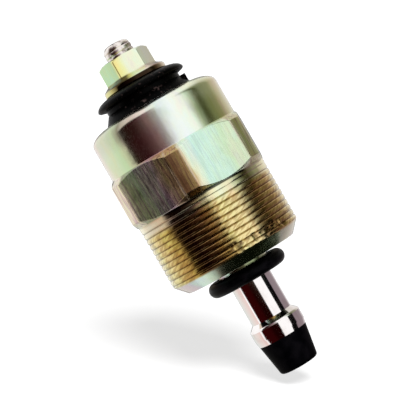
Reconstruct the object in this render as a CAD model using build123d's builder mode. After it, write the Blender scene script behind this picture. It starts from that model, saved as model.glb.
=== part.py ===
from build123d import *
import math
import os

os.makedirs("parts", exist_ok=True)

# A fuel shutoff solenoid for a diesel injection pump, de-energised, with its valve pushed out
# Z runs up the axis from the underside of the hexagon, where the threaded shank begins
# The terminal stud points up and the valve tip points down
# Lengths are in millimetres and angles in degrees

# Housing, outside
thread_dia = 24.0
thread_reach = 11.5
end_chamfer_width = 1.9
end_chamfer_height = 2.1
hex_stand = 0.1
hex_corner_cut = 0.72
hex_face_inset = 0.08
hex_height = 9.0
hex_chamfer_angle = 40.0
hex_turn = -3.7
crimp_height = 1.95
crimp_reach = 3.65
crimp_lip = 1.05

# Housing, inside
shank_wall = 2.6
body_wall = 1.95
plate_ledge = 0.5
floor_thickness = 3.2

# Nose that carries the seal ring
nose_length = 3.0
nose_dia = 9.16
nose_rim_dia = 9.6
nose_rim_height = 0.35
nose_stop_height = 0.4
seal_cord = 2.6
seal_drop = 1.9

# Plunger and valve tip
rod_dia = 7.35
plunger_length = 28.6
tip_drop = 16.8
collar_dia = 9.3
collar_height = 2.9
collar_taper = 1.0
shoulder_height = 0.9
collar_round = 0.55
tip_length = 5.8
tip_top_dia = 8.85
tip_end_dia = 6.95
tip_round = 0.6
plug_dia = 4.2
plug_bulb_dia = 5.4
plug_depth = 3.2
stroke = 2.5

# Magnet core, sleeve and return spring
sleeve_wall = 0.4
sleeve_short = 1.0
core_length = 7.05
shim_thickness = 0.2
face_gap = 0.15
core_rivet_dia = 5.6
core_rivet_flare = 0.5
spring_pocket_dia = 4.7
plunger_pocket_depth = 9.0
core_pocket_depth = 3.0
spring_wire = 0.6
spring_coils = 6
spring_closed_pitch = 0.62
sleeve_seal_cord = 1.2

# Coil
bobbin_wall = 0.65
bobbin_flange = 0.8
bobbin_gap = 0.2
winding_gap = 0.8
tape_thickness = 0.2
spacer_thickness = 0.5

# Pole plate and what is clamped above it
plate_thickness = 2.5
gasket_thickness = 1.0
gasket_inset = 0.5
fibre_inset = 0.6
fibre_thickness = 0.5
tag_dia = 8.4
tag_thickness = 0.3
tag_lug_width = 2.4
tag_lug_end = 0.85
tag_hole_dia = 2.4
lead_dia = 0.7
lead_inset = 0.9
lead_slot_width = 1.7
bush_wall = 0.6
solder_height = 0.6
solder_wall = 0.42

# Terminal stud and nut
stud_dia = 5.0
stud_show = 2.5
stud_end_round = 1.2
stud_head_flats = 8.0
stud_head_height = 2.2
stud_seal_cord = 1.0
nut_flats = 8.0
nut_corner_dia = 9.24
nut_height = 5.15
nut_flange_dia = 11.5
nut_flange_edge = 0.95
nut_flange_slope = 0.7
nut_flange_round = 0.35
nut_chamfer = 0.45
nut_turn = 36.2

# Insulating cap
cap_flange = 1.8
cap_rise = 4.3
cap_skirt = 0.7
flare_inset = 1.15
flare_height = 1.65
neck_depth = 0.1
neck_height = 0.75
brim_overhang = 1.3
brim_height = 1.6
brim_edge = 0.2
dome_width = 3.0
recess_room = 1.0
lug_inset = 0.3
lug_width = 2.6
lug_turn = -2.0

# Clearances
fit = 0.03
slide_fit = 0.05
loose = 0.1
wide = 0.3

# Radii
# The hexagon's flats stand a little over the crests of the thread
thread_r = thread_dia / 2
hex_flat_r = thread_r + hex_stand
hex_face_r = hex_flat_r - hex_face_inset
hex_corner_r = hex_flat_r / math.cos(math.radians(30)) - hex_corner_cut
coil_bore_r = thread_r - shank_wall
plate_bore_r = coil_bore_r + plate_ledge
body_r = plate_bore_r + body_wall
rim_hole_r = body_r - crimp_reach
rod_r = rod_dia / 2
stud_r = stud_dia / 2
sleeve_in_r = rod_r + slide_fit
sleeve_out_r = sleeve_in_r + sleeve_wall
sleeve_bore_r = sleeve_out_r + fit
bobbin_in_r = sleeve_out_r + fit
bobbin_out_r = bobbin_in_r + bobbin_wall
bobbin_flange_r = coil_bore_r - bobbin_gap
winding_r = coil_bore_r - winding_gap
seal_cord_r = seal_cord / 2
spring_r = spring_pocket_dia / 2 - loose - spring_wire / 2
collar_r = rim_hole_r - slide_fit
flare_r = collar_r - flare_inset
neck_r = flare_r - neck_depth
brim_r = neck_r + brim_overhang
dome_r = brim_r - dome_width
recess_r = collar_r - cap_skirt
lead_place = recess_r - lead_inset
bush_r = lead_dia / 2 + slide_fit + bush_wall

# Heights, from the bottom of the part to the top
shank_end = -thread_reach
end_face = shank_end - end_chamfer_height
nose_end = end_face - nose_length
tip_end = nose_end - tip_drop
collar_bottom = tip_end + tip_length
plunger_top = collar_bottom + plunger_length
seal_middle = end_face - seal_drop
sleeve_bottom = nose_end + nose_stop_height
cup_floor = end_face + floor_thickness
core_face = plunger_top + stroke + face_gap + shim_thickness
plate_seat = core_face + core_length
sleeve_top = plate_seat - sleeve_short
bobbin_top = plate_seat - spacer_thickness
winding_bottom = cup_floor + bobbin_flange
winding_top = bobbin_top - bobbin_flange
plate_top = plate_seat + plate_thickness
cap_base = plate_top + gasket_thickness
cap_shoulder = cap_base + cap_flange
rim_top = cap_shoulder + crimp_lip
body_top = rim_top - crimp_height
fibre_top = plate_top + fibre_thickness
tag_top = fibre_top + tag_thickness
head_top = tag_top + stud_head_height
recess_top = tag_top + recess_room
cap_top = rim_top + cap_rise
nut_top = cap_top + nut_height
stud_top = nut_top + stud_show
spring_bottom = plunger_top - plunger_pocket_depth
spring_top = core_face + core_pocket_depth

# Housing: a turned steel cup with a hexagon, a threaded shank and a rim crimped over the cap
hex_chamfer = (hex_corner_r - hex_face_r) * math.tan(math.radians(hex_chamfer_angle))
with BuildPart() as housing:
    # The hexagon, turned down at its corners and chamfered above and below
    with BuildSketch():
        RegularPolygon(hex_flat_r, 6, major_radius=False, rotation=hex_turn + 30)
    extrude(amount=hex_height)
    with BuildSketch(Plane.XZ):
        with BuildLine():
            Polyline(
                (0, 0),
                (hex_face_r, 0),
                (hex_corner_r, hex_chamfer),
                (hex_corner_r, hex_height - hex_chamfer),
                (hex_face_r, hex_height),
                (0, hex_height),
                close=True,
            )
        make_face()
    revolve(axis=Axis.Z, mode=Mode.INTERSECT)
    # The turned body above it and the shank and nose below it
    with BuildSketch(Plane.XZ):
        with BuildLine():
            Polyline(
                (0, body_top),
                (0, nose_end),
                (nose_rim_dia / 2, nose_end),
                (nose_rim_dia / 2, nose_end + nose_rim_height),
                (nose_dia / 2, nose_end + nose_rim_height),
                (nose_dia / 2, end_face),
                (thread_r - end_chamfer_width, end_face),
                (thread_r, shank_end),
                (thread_r, 0),
                (body_r, 0),
                (body_r, body_top),
            )
            EllipticalCenterArc(
                (rim_hole_r, body_top), body_r - rim_hole_r, crimp_height, arc_size=90
            )
            Polyline((rim_hole_r, rim_top), (0, rim_top), (0, body_top))
        make_face()
    revolve(axis=Axis.Z)
    # The bore for the sleeve, the seal groove, the coil space, the plate seat and the rim's hole
    with BuildSketch(Plane.XZ):
        with BuildLine():
            Polyline(
                (0, nose_end),
                (rod_r + wide, nose_end),
                (rod_r + wide, sleeve_bottom),
                (sleeve_bore_r, sleeve_bottom),
                (sleeve_bore_r, cup_floor - sleeve_seal_cord),
                (sleeve_bore_r + sleeve_seal_cord, cup_floor - sleeve_seal_cord),
                (sleeve_bore_r + sleeve_seal_cord, cup_floor),
                (coil_bore_r, cup_floor),
                (coil_bore_r, plate_seat),
                (plate_bore_r, plate_seat),
                (plate_bore_r, cap_shoulder),
                (rim_hole_r, cap_shoulder),
                (rim_hole_r, rim_top),
                (0, rim_top),
                close=True,
            )
        make_face()
    revolve(axis=Axis.Z, mode=Mode.SUBTRACT)
housing.part.label = "housing"
export_step(housing.part, "parts/housing.step")

# Seal ring on the nose
with BuildPart() as nose_seal:
    with BuildSketch(Plane.XZ):
        with Locations((nose_dia / 2 + fit / 2 + seal_cord_r, seal_middle)):
            Circle(seal_cord_r)
    revolve(axis=Axis.Z)
nose_seal.part.label = "nose_seal_ring"
export_step(nose_seal.part, "parts/nose_seal_ring.step")

# Sleeve of thin brass tube that guides the plunger inside the coil
with BuildPart() as sleeve:
    with BuildSketch(Plane.XY.offset(sleeve_bottom)):
        Circle(sleeve_out_r)
        Circle(sleeve_in_r, mode=Mode.SUBTRACT)
    extrude(amount=sleeve_top - sleeve_bottom)
sleeve.part.label = "guide_sleeve"
export_step(sleeve.part, "parts/guide_sleeve.step")

# Seal ring round the sleeve, in the groove of the housing's floor
with BuildPart() as sleeve_seal:
    with BuildSketch(Plane.XZ):
        seal_place = (sleeve_bore_r + sleeve_seal_cord / 2, cup_floor - sleeve_seal_cord / 2)
        with Locations(seal_place):
            Circle(sleeve_seal_cord / 2 - fit)
    revolve(axis=Axis.Z)
sleeve_seal.part.label = "sleeve_seal_ring"
export_step(sleeve_seal.part, "parts/sleeve_seal_ring.step")

# Plunger: a polished steel rod with a collar that holds the rubber, and a pocket for the spring
with BuildPart() as plunger:
    with BuildSketch(Plane.XZ):
        with BuildLine():
            Polyline(
                (0, collar_bottom),
                (tip_top_dia / 2, collar_bottom),
                (collar_dia / 2, collar_bottom + collar_taper),
                (collar_dia / 2, collar_bottom + collar_height),
                (rod_r, collar_bottom + collar_height + shoulder_height),
                (rod_r, plunger_top),
                (0, plunger_top),
                close=True,
            )
        make_face()
    revolve(axis=Axis.Z)
    shoulder = plunger.edges().filter_by(GeomType.CIRCLE).group_by(Axis.Z)[1:3]
    fillet(shoulder[0] + shoulder[1], collar_round)
    top_rim = plunger.edges().filter_by(GeomType.CIRCLE).sort_by(Axis.Z)[-1]
    chamfer(top_rim, wide)
    with BuildSketch(Plane.XY.offset(plunger_top)):
        Circle(spring_pocket_dia / 2)
    extrude(amount=-plunger_pocket_depth, mode=Mode.SUBTRACT)
    # The moulded rubber's plug and bulb fill this pocket
    with BuildSketch(Plane.XZ):
        with BuildLine():
            Polyline(
                (0, collar_bottom),
                (plug_dia / 2, collar_bottom),
                (plug_dia / 2, collar_bottom + plug_depth / 2),
                (plug_bulb_dia / 2, collar_bottom + plug_depth / 2),
                (plug_bulb_dia / 2, collar_bottom + plug_depth),
                (0, collar_bottom + plug_depth),
                close=True,
            )
        make_face()
    revolve(axis=Axis.Z, mode=Mode.SUBTRACT)
plunger.part.label = "plunger"
export_step(plunger.part, "parts/plunger.step")

# Valve tip: a rubber cone moulded onto the collar, held by its bulb
with BuildPart() as valve_tip:
    with BuildSketch(Plane.XZ):
        with BuildLine():
            Polyline(
                (0, tip_end),
                (tip_end_dia / 2, tip_end),
                (tip_top_dia / 2, collar_bottom),
                (plug_dia / 2 - fit, collar_bottom),
                (plug_dia / 2 - fit, collar_bottom + plug_depth / 2 + fit),
                (plug_bulb_dia / 2 - fit, collar_bottom + plug_depth / 2 + fit),
                (plug_bulb_dia / 2 - fit, collar_bottom + plug_depth - fit),
                (0, collar_bottom + plug_depth - fit),
                close=True,
            )
        make_face()
    revolve(axis=Axis.Z)
    fillet(valve_tip.edges().filter_by(GeomType.CIRCLE).sort_by(Axis.Z)[0], tip_round)
valve_tip.part.label = "valve_tip"
export_step(valve_tip.part, "parts/valve_tip.step")

# Fixed core: it stands in the top of the sleeve and is riveted into the pole plate
with BuildPart() as core:
    with BuildSketch(Plane.XZ):
        with BuildLine():
            Polyline(
                (0, core_face),
                (rod_r, core_face),
                (rod_r, sleeve_top),
                (sleeve_out_r, sleeve_top),
                (sleeve_out_r, plate_seat),
                (core_rivet_dia / 2, plate_seat),
                (core_rivet_dia / 2, plate_top - core_rivet_flare),
                (core_rivet_dia / 2 + core_rivet_flare, plate_top),
                (0, plate_top),
                close=True,
            )
        make_face()
    revolve(axis=Axis.Z)
    with BuildSketch(Plane.XY.offset(core_face)):
        Circle(spring_pocket_dia / 2)
    extrude(amount=core_pocket_depth, mode=Mode.SUBTRACT)
core.part.label = "fixed_core"
export_step(core.part, "parts/fixed_core.step")

# Shim of brass foil on the core's face, which keeps the plunger from sticking to it
with BuildPart() as shim:
    with BuildSketch(Plane.XY.offset(core_face - shim_thickness)):
        Circle(rod_r)
        Circle(spring_pocket_dia / 2, mode=Mode.SUBTRACT)
    extrude(amount=shim_thickness)
shim.part.label = "core_shim"
export_step(shim.part, "parts/core_shim.step")

# Return spring: an open coil between two closed end turns, in the plunger's and core's pockets
spring_low = spring_bottom + spring_wire / 2
spring_high = spring_top - spring_wire / 2
open_low = spring_low + spring_closed_pitch
open_height = spring_high - spring_closed_pitch - open_low
with BuildPart() as spring:
    with BuildLine() as coil_line:
        first_turn = Helix(
            spring_closed_pitch, spring_closed_pitch, spring_r, center=(0, 0, spring_low)
        )
        Helix(open_height / spring_coils, open_height, spring_r, center=(0, 0, open_low))
        Helix(
            spring_closed_pitch,
            spring_closed_pitch,
            spring_r,
            center=(0, 0, open_low + open_height),
        )
    with BuildSketch(Plane(origin=first_turn @ 0, z_dir=first_turn % 0)):
        Circle(spring_wire / 2)
    sweep(path=coil_line.line, is_frenet=True, transition=Transition.ROUND)
spring.part.label = "return_spring"
export_step(spring.part, "parts/return_spring.step")

# Bobbin: a moulded spool between the housing's floor and the plate, with a slot for each lead
with BuildPart() as bobbin:
    with BuildSketch(Plane.XZ):
        with BuildLine():
            Polyline(
                (bobbin_in_r, cup_floor),
                (bobbin_flange_r, cup_floor),
                (bobbin_flange_r, winding_bottom),
                (bobbin_out_r, winding_bottom),
                (bobbin_out_r, winding_top),
                (bobbin_flange_r, winding_top),
                (bobbin_flange_r, bobbin_top),
                (bobbin_in_r, bobbin_top),
                close=True,
            )
        make_face()
    revolve(axis=Axis.Z)
    with BuildSketch(Plane.XY.offset(winding_top)):
        with PolarLocations(bobbin_flange_r, 2):
            SlotOverall(2 * (bobbin_flange_r - lead_place) + lead_slot_width, lead_slot_width)
    extrude(amount=bobbin_flange, mode=Mode.SUBTRACT)
bobbin.part.label = "bobbin"
export_step(bobbin.part, "parts/bobbin.step")

# Winding of varnished copper wire, taken as one solid ring
with BuildPart() as winding:
    with BuildSketch(Plane.XY.offset(winding_bottom)):
        Circle(winding_r)
        Circle(bobbin_out_r + fit, mode=Mode.SUBTRACT)
    extrude(amount=winding_top - winding_bottom)
winding.part.label = "coil_winding"
export_step(winding.part, "parts/coil_winding.step")

# Tape wrapped round the winding
with BuildPart() as tape:
    with BuildSketch(Plane.XY.offset(winding_bottom + fit)):
        Circle(winding_r + fit + tape_thickness)
        Circle(winding_r + fit, mode=Mode.SUBTRACT)
    extrude(amount=winding_top - winding_bottom - 2 * fit)
tape.part.label = "coil_tape"
export_step(tape.part, "parts/coil_tape.step")

# Spacer of fibre board that keeps the bobbin tight under the plate
with BuildPart() as spacer:
    with BuildSketch(Plane.XY.offset(bobbin_top)):
        Circle(bobbin_flange_r)
        Circle(bobbin_in_r, mode=Mode.SUBTRACT)
        with PolarLocations(lead_place, 2):
            Circle(lead_dia / 2 + loose, mode=Mode.SUBTRACT)
    extrude(amount=spacer_thickness)
spacer.part.label = "coil_spacer"
export_step(spacer.part, "parts/coil_spacer.step")

# Pole plate: a steel disc that closes the magnetic path, riveted to the core
with BuildPart() as plate:
    with BuildSketch(Plane.XZ):
        with BuildLine():
            Polyline(
                (core_rivet_dia / 2 + fit, plate_seat),
                (plate_bore_r - fit, plate_seat),
                (plate_bore_r - fit, plate_top),
                (core_rivet_dia / 2 + core_rivet_flare + fit, plate_top),
                (core_rivet_dia / 2 + fit, plate_top - core_rivet_flare),
                close=True,
            )
        make_face()
    revolve(axis=Axis.Z)
    with BuildSketch(Plane.XY.offset(plate_seat)):
        with Locations((lead_place, 0)):
            Circle(bush_r + fit)
        with Locations((-lead_place, 0)):
            Circle(lead_dia / 2 + slide_fit)
    extrude(amount=plate_thickness, mode=Mode.SUBTRACT)
plate.part.label = "pole_plate"
export_step(plate.part, "parts/pole_plate.step")

# Bush that insulates the live lead where it passes through the plate
with BuildPart() as bush:
    with BuildSketch(Plane.XY.offset(plate_seat)):
        with Locations((lead_place, 0)):
            Circle(bush_r)
            Circle(lead_dia / 2 + slide_fit, mode=Mode.SUBTRACT)
    extrude(amount=plate_thickness)
bush.part.label = "lead_bush"
export_step(bush.part, "parts/lead_bush.step")

# Live lead, from the winding to the contact tag
with BuildPart() as live_lead:
    with BuildSketch(Plane.XY.offset(winding_top)):
        with Locations((lead_place, 0)):
            Circle(lead_dia / 2)
    extrude(amount=tag_top + solder_height + loose - winding_top)
live_lead.part.label = "live_lead"
export_step(live_lead.part, "parts/live_lead.step")

# Earth lead, from the winding into its hole in the plate
with BuildPart() as earth_lead:
    with BuildSketch(Plane.XY.offset(winding_top)):
        with Locations((-lead_place, 0)):
            Circle(lead_dia / 2)
    extrude(amount=plate_top - winding_top)
earth_lead.part.label = "earth_lead"
export_step(earth_lead.part, "parts/earth_lead.step")

# Fibre disc that insulates the tag and the stud's head from the plate
with BuildPart() as fibre:
    with BuildSketch(Plane.XY.offset(plate_top)):
        Circle(recess_r - fibre_inset)
        with Locations((lead_place, 0)):
            SlotOverall(lead_slot_width, lead_dia + 2 * loose, mode=Mode.SUBTRACT)
    extrude(amount=fibre_thickness)
fibre.part.label = "fibre_disc"
export_step(fibre.part, "parts/fibre_disc.step")

# Contact tag: a tinned disc under the stud's head, with a lug for the live lead
with BuildPart() as tag:
    with BuildSketch(Plane.XY.offset(fibre_top)):
        Circle(tag_dia / 2)
        with Locations(((lead_place + tag_lug_end) / 2, 0)):
            SlotOverall(lead_place + tag_lug_end, tag_lug_width)
        Circle(tag_hole_dia / 2, mode=Mode.SUBTRACT)
        with Locations((lead_place, 0)):
            Circle(lead_dia / 2 + slide_fit, mode=Mode.SUBTRACT)
    extrude(amount=tag_thickness)
tag.part.label = "contact_tag"
export_step(tag.part, "parts/contact_tag.step")

# Solder fillet round the live lead, on the tag's lug
with BuildPart() as solder:
    with BuildSketch(Plane.XY.offset(tag_top)):
        with Locations((lead_place, 0)):
            Circle(lead_dia / 2 + fit + solder_wall)
    extrude(amount=solder_height, taper=20)
    with BuildSketch(Plane.XY.offset(tag_top)):
        with Locations((lead_place, 0)):
            Circle(lead_dia / 2 + fit)
    extrude(amount=solder_height, mode=Mode.SUBTRACT)
solder.part.label = "solder_joint"
export_step(solder.part, "parts/solder_joint.step")

# Terminal stud, with a hexagonal head that sits in the cap's pocket
with BuildPart() as stud:
    with BuildSketch(Plane.XY.offset(tag_top)):
        RegularPolygon(stud_head_flats / 2, 6, major_radius=False)
    extrude(amount=stud_head_height)
    with BuildSketch(Plane.XY.offset(head_top)):
        Circle(stud_r)
    extrude(amount=stud_top - head_top)
    stud_rim = stud.edges().filter_by(GeomType.CIRCLE).sort_by(Axis.Z)[-1]
    fillet(stud_rim, stud_end_round)
stud.part.label = "terminal_stud"
export_step(stud.part, "parts/terminal_stud.step")

# Small seal ring round the stud, above its head
with BuildPart() as stud_seal:
    with BuildSketch(Plane.XZ):
        with Locations((stud_r + slide_fit + stud_seal_cord / 2, head_top + stud_seal_cord / 2)):
            Circle(stud_seal_cord / 2 - fit)
    revolve(axis=Axis.Z)
stud_seal.part.label = "stud_seal_ring"
export_step(stud_seal.part, "parts/stud_seal_ring.step")

# Gasket between the pole plate and the cap
with BuildPart() as gasket:
    with BuildSketch(Plane.XY.offset(plate_top)):
        Circle(plate_bore_r - loose)
        Circle(recess_r + gasket_inset, mode=Mode.SUBTRACT)
    extrude(amount=gasket_thickness)
gasket.part.label = "cap_gasket"
export_step(gasket.part, "parts/cap_gasket.step")

# Insulating cap: moulded black plastic, clamped by the rim, with a groove under its domed brim
flare_top = rim_top + flare_height
neck_top = flare_top + neck_height
brim_bottom = cap_top - brim_height
with BuildPart() as cap:
    with BuildSketch(Plane.XZ):
        with BuildLine():
            Polyline(
                (0, cap_top),
                (0, cap_base),
                (plate_bore_r - slide_fit, cap_base),
                (plate_bore_r - slide_fit, cap_shoulder),
                (collar_r, cap_shoulder),
                (collar_r, rim_top),
                (flare_r, flare_top),
                (neck_r, flare_top),
                (neck_r, neck_top),
                (brim_r - brim_edge, brim_bottom),
                (brim_r, brim_bottom + brim_edge),
            )
            EllipticalCenterArc(
                (dome_r, brim_bottom + brim_edge),
                dome_width,
                brim_height - brim_edge,
                arc_size=90,
            )
            Line((dome_r, cap_top), (0, cap_top))
        make_face()
    revolve(axis=Axis.Z)
    # The square lug beside the neck
    with BuildSketch(Plane.XY.offset(rim_top).rotated((0, 0, lug_turn))):
        with Locations((neck_r, 0)):
            Rectangle(2 * (collar_r - lug_inset - neck_r), lug_width)
    extrude(amount=flare_height)
    # The recess for the fibre disc and tag, the pocket for the stud's head and the stud's hole
    with BuildSketch(Plane.XY.offset(plate_top)):
        Circle(recess_r)
    extrude(amount=recess_top - plate_top, mode=Mode.SUBTRACT)
    with BuildSketch(Plane.XY.offset(plate_top)):
        RegularPolygon(stud_head_flats / 2 + slide_fit, 6, major_radius=False)
    extrude(amount=head_top - plate_top, mode=Mode.SUBTRACT)
    with BuildSketch(Plane.XY.offset(head_top)):
        Circle(stud_r + slide_fit + stud_seal_cord)
    extrude(amount=stud_seal_cord, mode=Mode.SUBTRACT)
    with BuildSketch(Plane.XY.offset(head_top)):
        Circle(stud_r + slide_fit)
    extrude(amount=cap_top - head_top, mode=Mode.SUBTRACT)
cap.part.label = "insulating_cap"
export_step(cap.part, "parts/insulating_cap.step")

# Terminal nut: a hexagon nut made in one piece with its sloped flange
with BuildPart() as nut:
    with BuildSketch(Plane.XY.offset(cap_top)):
        RegularPolygon(nut_flats / 2, 6, major_radius=False, rotation=nut_turn + 30)
    extrude(amount=nut_height)
    with BuildSketch(Plane.XZ):
        with BuildLine():
            Polyline(
                (0, cap_top),
                (nut_corner_dia / 2, cap_top),
                (nut_corner_dia / 2, nut_top - nut_chamfer),
                (nut_flats / 2 - nut_chamfer / 2, nut_top),
                (0, nut_top),
                close=True,
            )
        make_face()
    revolve(axis=Axis.Z, mode=Mode.INTERSECT)
    with BuildSketch(Plane.XZ):
        with BuildLine():
            Polyline(
                (0, cap_top),
                (nut_flange_dia / 2, cap_top),
                (nut_flange_dia / 2, cap_top + nut_flange_edge),
                (nut_flats / 2, cap_top + nut_flange_edge + nut_flange_slope),
                (0, cap_top + nut_flange_edge + nut_flange_slope),
                close=True,
            )
        make_face()
    revolve(axis=Axis.Z)
    flange_rim = nut.edges().filter_by(GeomType.CIRCLE).filter_by(
        lambda edge: abs(edge.radius - nut_flange_dia / 2) < fit
    )
    fillet(flange_rim.sort_by(Axis.Z)[-1], nut_flange_round)
    with BuildSketch(Plane.XY.offset(cap_top)):
        Circle(stud_r + fit)
    extrude(amount=nut_height, mode=Mode.SUBTRACT)
nut.part.label = "terminal_nut"
export_step(nut.part, "parts/terminal_nut.step")
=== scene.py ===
# %% [markdown]
# # Dressing a fuel shutoff solenoid
# The part is a small electric valve for a diesel injection pump. A turned steel housing holds a coil,
# and the coil pulls a sprung plunger off its seat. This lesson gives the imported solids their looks:
# zinc plate with a yellow chromate film, black moulded plastic, black rubber and polished steel.
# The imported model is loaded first, because every piece made here is placed by it.

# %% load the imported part
import math
import bmesh
import bpy
from mathutils import Matrix, Vector, noise


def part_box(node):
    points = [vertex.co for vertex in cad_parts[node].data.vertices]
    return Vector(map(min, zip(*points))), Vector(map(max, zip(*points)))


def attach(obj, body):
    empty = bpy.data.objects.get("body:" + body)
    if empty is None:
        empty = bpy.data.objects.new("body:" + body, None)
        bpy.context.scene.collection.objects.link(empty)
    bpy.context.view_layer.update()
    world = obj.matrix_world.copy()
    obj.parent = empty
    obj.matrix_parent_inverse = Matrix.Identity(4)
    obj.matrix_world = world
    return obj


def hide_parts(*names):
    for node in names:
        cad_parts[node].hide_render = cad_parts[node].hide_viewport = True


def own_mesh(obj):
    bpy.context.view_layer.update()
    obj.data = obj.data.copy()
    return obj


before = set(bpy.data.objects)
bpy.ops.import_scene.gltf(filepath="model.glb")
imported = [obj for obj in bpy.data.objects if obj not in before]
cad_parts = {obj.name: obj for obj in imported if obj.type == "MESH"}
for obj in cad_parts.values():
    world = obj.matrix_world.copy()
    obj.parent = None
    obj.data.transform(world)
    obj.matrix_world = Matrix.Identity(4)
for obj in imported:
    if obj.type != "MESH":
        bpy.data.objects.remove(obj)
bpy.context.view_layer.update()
MM = 0.001
print("solids in the packed part:", len(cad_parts))

# %% [markdown]
# ## The camera
# The camera looks nearly square at the axis of the part, from just under the hexagon. It is rolled, so
# that the stud points to the upper left, as the part leans in the photograph. The part could be tilted
# instead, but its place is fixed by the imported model. How strongly the rings curve gives the distance,
# and the lens follows from the width that the photograph shows at the axis.

# %% camera
PHOTO_WIDTH = 416
PIXELS_PER_MM = 5.92
lean = math.radians(30.1)
eye_distance = 280 * MM
eye_height = -1.0 * MM
aim_height = -2.72 * MM
aim_side = -0.16 * MM

screen_up = Vector((math.sin(lean), 0, math.cos(lean)))
screen_right = Vector((math.cos(lean), 0, -math.sin(lean)))
depth = Vector((0, 1, 0))
eye = Vector((aim_side, -eye_distance, eye_height))
back = (eye - Vector((aim_side, 0, aim_height))).normalized()
right = screen_up.cross(back).normalized()

camera_data = bpy.data.cameras.new("camera")
camera_data.sensor_width = 36.0
camera_data.lens = camera_data.sensor_width * eye_distance / (PHOTO_WIDTH / PIXELS_PER_MM * MM)
camera_data.clip_start = 10 * MM
camera_data.clip_end = 10.0
camera = bpy.data.objects.new("camera", camera_data)
turned_to_part = Matrix((right, back.cross(right), back)).transposed().to_4x4()
camera.matrix_world = Matrix.Translation(eye) @ turned_to_part
bpy.context.scene.collection.objects.link(camera)
bpy.context.scene.camera = camera
bpy.context.scene.view_settings.view_transform = "Standard"
print("lens in mm:", round(camera_data.lens, 1))

# %% [markdown]
# ## Short ways to write a node tree
# Every finish below is a small tree of nodes. They could be drawn by hand in the shader editor, but a
# script makes them the same each time. A few helpers keep the trees readable: one adds a node and fills
# its inputs, one does a sum, one rises between two values, and one turns a value into a colour by
# a few chosen stops.

# %% nodes and sums
def add(tree, kind, inputs=None, **settings):
    """Adds a node, sets its options, and fills or links its inputs."""
    node = tree.nodes.new("ShaderNode" + kind)
    for name, value in settings.items():
        setattr(node, name, value)
    for key, value in (inputs or {}).items():
        if isinstance(value, bpy.types.NodeSocket):
            tree.links.new(value, node.inputs[key])
        else:
            node.inputs[key].default_value = value
    return node


def sums(tree, operation, first, second=0.0, clamp=False):
    """One step of arithmetic."""
    return add(tree, "Math", {0: first, 1: second}, operation=operation, use_clamp=clamp).outputs[0]


def product(tree, *factors):
    """Several values multiplied together."""
    total = factors[0]
    for factor in factors[1:]:
        total = sums(tree, "MULTIPLY", total, factor)
    return total

# %% values that rise and fall
def step_up(tree, value, start, end):
    """Rises smoothly from 0 at start to 1 at end."""
    inputs = {"Value": value, "From Min": start, "From Max": end}
    return add(tree, "MapRange", inputs, interpolation_type="SMOOTHSTEP").outputs["Result"]


def step_down(tree, value, start, end):
    """Falls smoothly from 1 at start to 0 at end."""
    return sums(tree, "SUBTRACT", 1.0, step_up(tree, value, start, end))


def between(tree, value, start, end, soft):
    """1 between two values and 0 outside them, with soft edges."""
    rise = step_up(tree, value, start - soft, start + soft)
    fall = step_down(tree, value, end - soft, end + soft)
    return sums(tree, "MULTIPLY", rise, fall)


def spread(tree, value, start, end, low, high):
    """Takes a value from one range to another in a straight line."""
    inputs = {"Value": value, "From Min": start, "From Max": end, "To Min": low, "To Max": high}
    return add(tree, "MapRange", inputs).outputs["Result"]

# %% colours
def colour(red, green, blue):
    """A colour given as it looks on a screen, 0 to 255, turned into light."""
    return tuple(
        c / 12.92 if c <= 0.04045 else ((c + 0.055) / 1.055) ** 2.4
        for c in (red / 255, green / 255, blue / 255)
    ) + (1.0,)


def ramp(tree, value, *stops):
    """Colours between stops, each a place from 0 to 1 and a screen colour."""
    node = add(tree, "ValToRGB", {"Fac": value})
    band = node.color_ramp
    band.elements.remove(band.elements[1])
    band.elements[0].position = stops[0][0]
    band.elements[0].color = colour(*stops[0][1])
    for place, shade in stops[1:]:
        band.elements.new(place).color = colour(*shade)
    return node.outputs["Color"]


def by_angle(tree, turn, *stops):
    """Colours round the axis, each stop an angle from -180 to 180 degrees and a screen colour."""
    share = sums(tree, "DIVIDE", sums(tree, "ADD", turn, 180.0), 360.0)
    return ramp(tree, share, *[((angle + 180) / 360, shade) for angle, shade in stops])

# %% mixing, and where a point lies
def blend(tree, factor, first, second, kind="MIX"):
    """Mixes two colours, by a factor from 0 to 1."""
    node = add(tree, "Mix", data_type="RGBA", blend_type=kind, clamp_factor=True)
    for key, value in ((0, factor), (6, first), (7, second)):
        if isinstance(value, bpy.types.NodeSocket):
            tree.links.new(value, node.inputs[key])
        else:
            node.inputs[key].default_value = value
    return node.outputs[2]


def zoned(tree, turn, height, lowest, *zones):
    """Colours round the axis, with another row of them above each edge, which has a softness."""
    shade = by_angle(tree, turn, *lowest)
    for edge, soft, stops in zones:
        higher = by_angle(tree, turn, *stops)
        shade = blend(tree, step_up(tree, height, edge - soft, edge + soft), shade, higher)
    return shade


def places(tree):
    """Where a point lies: its coordinates in mm, its angle round the axis and its distance from it."""
    local = add(tree, "TexCoord").outputs["Object"]
    place = add(tree, "VectorMath", {0: local, 3: 1 / MM}, operation="SCALE").outputs[0]
    axes = add(tree, "SeparateXYZ", {0: place}).outputs
    front = sums(tree, "MULTIPLY", axes["Y"], -1.0)
    turn = sums(tree, "DEGREES", sums(tree, "ARCTAN2", axes["X"], front))
    across = add(tree, "CombineXYZ", {"X": axes["X"], "Y": axes["Y"]}).outputs[0]
    reach = add(tree, "VectorMath", {0: across}, operation="LENGTH").outputs["Value"]
    spot = {"place": place, "side": axes["X"], "far": axes["Y"], "height": axes["Z"]}
    return {**spot, "turn": turn, "reach": reach}

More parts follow.
